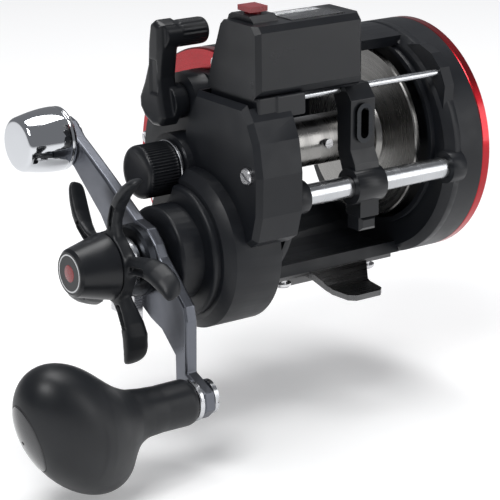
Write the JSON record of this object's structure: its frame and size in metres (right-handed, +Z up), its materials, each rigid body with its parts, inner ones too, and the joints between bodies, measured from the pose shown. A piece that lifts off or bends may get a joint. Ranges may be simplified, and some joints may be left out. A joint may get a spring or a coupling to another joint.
{
  "type": "trolling reel",
  "caption": "Level-wind, line-counter trolling reel with a star drag, weighted power crank, free-spool lever and clicker.",
  "frame": {"origin": "underside of the foot's central seat pad, below the middle of the spool", "axes": "+X along the spool axis to the far side plate with the crank at -X; +Y to the rear, the line leaves at -Y; +Z up from the rod"},
  "size_m": [0.1794, 0.0971, 0.1326],
  "materials": {
    "body_black": "satin moulded composite with a faint fine grain",
    "control_black": "satin black plastic, slightly smoother than the case",
    "ring_red": "gloss red anodising",
    "chrome": "polished",
    "steel_bright": "bright turned steel",
    "crank_grey": "satin gunmetal anodising, fine brushed grain along the arm",
    "grip_rubber": "soft-touch black",
    "spool_silver": "turned and anodised dark silver",
    "foot_steel": "dark stainless, polished edge",
    "lens": "clear moulded lens",
    "button_red": "gloss red",
    "wheel_white": "satin white",
    "gear_brass": "machined",
    "train_white": "satin acetal",
    "inner_steel": "machined",
    "drag_fibre": "woven carbon drag washer"
  },
  "bodies": {
    "root": {"frame": "body_black", "bridge_plate": "inner_steel", "gear_side_ring": "ring_red", "far_side_plate": "body_black", "far_side_ring": "ring_red", "gear_cover": "body_black", "cover_screws": "steel_bright", "ring_screws": "steel_bright", "counter_housing": "control_black", "counter_window": "lens", "counter_axle": "inner_steel", "foot": "foot_steel", "foot_screws": "steel_bright", "worm_tube": "steel_bright", "guide_rod": "steel_bright", "worm_bushes": "train_white", "spool_bearings": "inner_steel", "anti_reverse_bearing": "inner_steel", "gear_studs": "inner_steel"},
    "spool": {"spool": "spool_silver", "spool_shaft": "inner_steel", "line_peg": "spool_silver", "spool_cog": "gear_brass", "clicker_gear": "inner_steel"},
    "crank": {"drive_shaft": "inner_steel", "drive_gear": "gear_brass", "ratchet_gear": "inner_steel", "drag_washers": "drag_fibre", "drag_plate": "inner_steel", "crank_arm": "crank_grey", "hub_cover": "control_black", "hub_clip": "control_black", "drag_collar": "chrome", "counterweight": "chrome", "weight_screw": "steel_bright", "knob_post": "steel_bright", "knob_washer": "chrome"},
    "star": {"star_wheel": "control_black", "star_cap": "control_black"},
    "knob": {"knob_grip": "grip_rubber", "knob_bushes": "train_white"},
    "tension": {"tension_knob": "control_black", "tension_ring": "steel_bright"},
    "lever": {"free_spool_lever": "control_black"},
    "yoke": {"clutch_yoke": "inner_steel"},
    "pinion": {"pinion": "gear_brass"},
    "guide": {"line_guide": "control_black", "guide_insert": "steel_bright", "guide_pawl": "inner_steel", "pawl_cap": "control_black"},
    "worm": {"worm_shaft": "inner_steel", "worm_gear": "train_white"},
    "idler": {"idler_gear": "train_white"},
    "step": {"counter_step_gear": "train_white"},
    "count": {"counter_input_gear": "train_white"},
    "units": {"counter_units": "wheel_white"},
    "tens": {"counter_tens": "wheel_white"},
    "hundreds": {"counter_hundreds": "wheel_white"},
    "reset": {"reset_button": "button_red"},
    "clicker": {"clicker_button": "control_black"}
  },
  "joints": [
    {"name": "handle_spin", "type": "hinge", "parent": "root", "child": "crank", "pos_m": [0, -0.013, 0.0225], "axis": [1, 0, 0], "continuous": true},
    {"name": "spool_spin", "type": "hinge", "parent": "root", "child": "spool", "pos_m": [0, 0, 0.045], "axis": [1, 0, 0], "continuous": true},
    {"name": "yoke_slide", "type": "slide", "parent": "root", "child": "yoke", "axis": [-1, 0, 0], "range_m": [0, 0.0015]},
    {"name": "pinion_spin", "type": "hinge", "parent": "yoke", "child": "pinion", "pos_m": [0, 0, 0.045], "axis": [1, 0, 0], "continuous": true},
    {"name": "idler_spin", "type": "hinge", "parent": "root", "child": "idler", "pos_m": [0, -0.01721, 0.04256], "axis": [1, 0, 0], "continuous": true},
    {"name": "worm_spin", "type": "hinge", "parent": "root", "child": "worm", "pos_m": [0, -0.0359, 0.0399], "axis": [1, 0, 0], "continuous": true},
    {"name": "counter_step_spin", "type": "hinge", "parent": "root", "child": "step", "pos_m": [0, -0.0268, 0.06321], "axis": [1, 0, 0], "continuous": true},
    {"name": "counter_input_spin", "type": "hinge", "parent": "root", "child": "count", "pos_m": [0, -0.0252, 0.0793], "axis": [1, 0, 0], "continuous": true},
    {"name": "counter_units_spin", "type": "hinge", "parent": "root", "child": "units", "pos_m": [0, -0.0252, 0.0793], "axis": [1, 0, 0], "continuous": true},
    {"name": "counter_tens_spin", "type": "hinge", "parent": "root", "child": "tens", "pos_m": [0, -0.0252, 0.0793], "axis": [1, 0, 0], "continuous": true},
    {"name": "counter_hundreds_spin", "type": "hinge", "parent": "root", "child": "hundreds", "pos_m": [0, -0.0252, 0.0793], "axis": [1, 0, 0], "continuous": true},
    {"name": "lever_swing", "type": "hinge", "parent": "root", "child": "lever", "pos_m": [0, 0.001, 0.065], "axis": [1, 0, 0], "range_deg": [-40, 0]},
    {"name": "knob_spin", "type": "hinge", "parent": "crank", "child": "knob", "pos_m": [0, -0.0412, -0.0138], "axis": [1, 0, 0], "continuous": true},
    {"name": "star_turn", "type": "hinge", "parent": "crank", "child": "star", "pos_m": [0, -0.013, 0.0225], "axis": [1, 0, 0], "range_deg": [-180, 180]},
    {"name": "tension_turn", "type": "hinge", "parent": "root", "child": "tension", "pos_m": [0, 0, 0.045], "axis": [1, 0, 0], "range_deg": [-180, 180]},
    {"name": "reset_press", "type": "slide", "parent": "root", "child": "reset", "axis": [0, 0, -1], "range_m": [0, 0.0006], "stiffness_N_per_m": 400, "springref_m": -0.001},
    {"name": "guide_slide", "type": "slide", "parent": "root", "child": "guide", "axis": [1, 0, 0], "range_m": [-0.016, 0.0255]},
    {"name": "clicker_slide", "type": "slide", "parent": "root", "child": "clicker", "axis": [0, 0, 1], "range_m": [-0.0021, 0.0021]}
  ],
  "couplings": [
    {"joint": "spool_spin", "follows": "handle_spin", "ratio": -4},
    {"joint": "pinion_spin", "follows": "handle_spin", "ratio": -4},
    {"joint": "idler_spin", "follows": "handle_spin", "ratio": 1.0435},
    {"joint": "worm_spin", "follows": "handle_spin", "ratio": -2.8235},
    {"joint": "counter_step_spin", "follows": "handle_spin", "ratio": -1.6},
    {"joint": "counter_input_spin", "follows": "handle_spin", "ratio": 2},
    {"joint": "counter_units_spin", "follows": "handle_spin", "ratio": 0.2},
    {"joint": "counter_tens_spin", "follows": "handle_spin", "ratio": 0.02},
    {"joint": "counter_hundreds_spin", "follows": "handle_spin", "ratio": 0.002},
    {"joint": "yoke_slide", "follows": "lever_swing", "m_per_rad": -0.0021486}
  ]
}
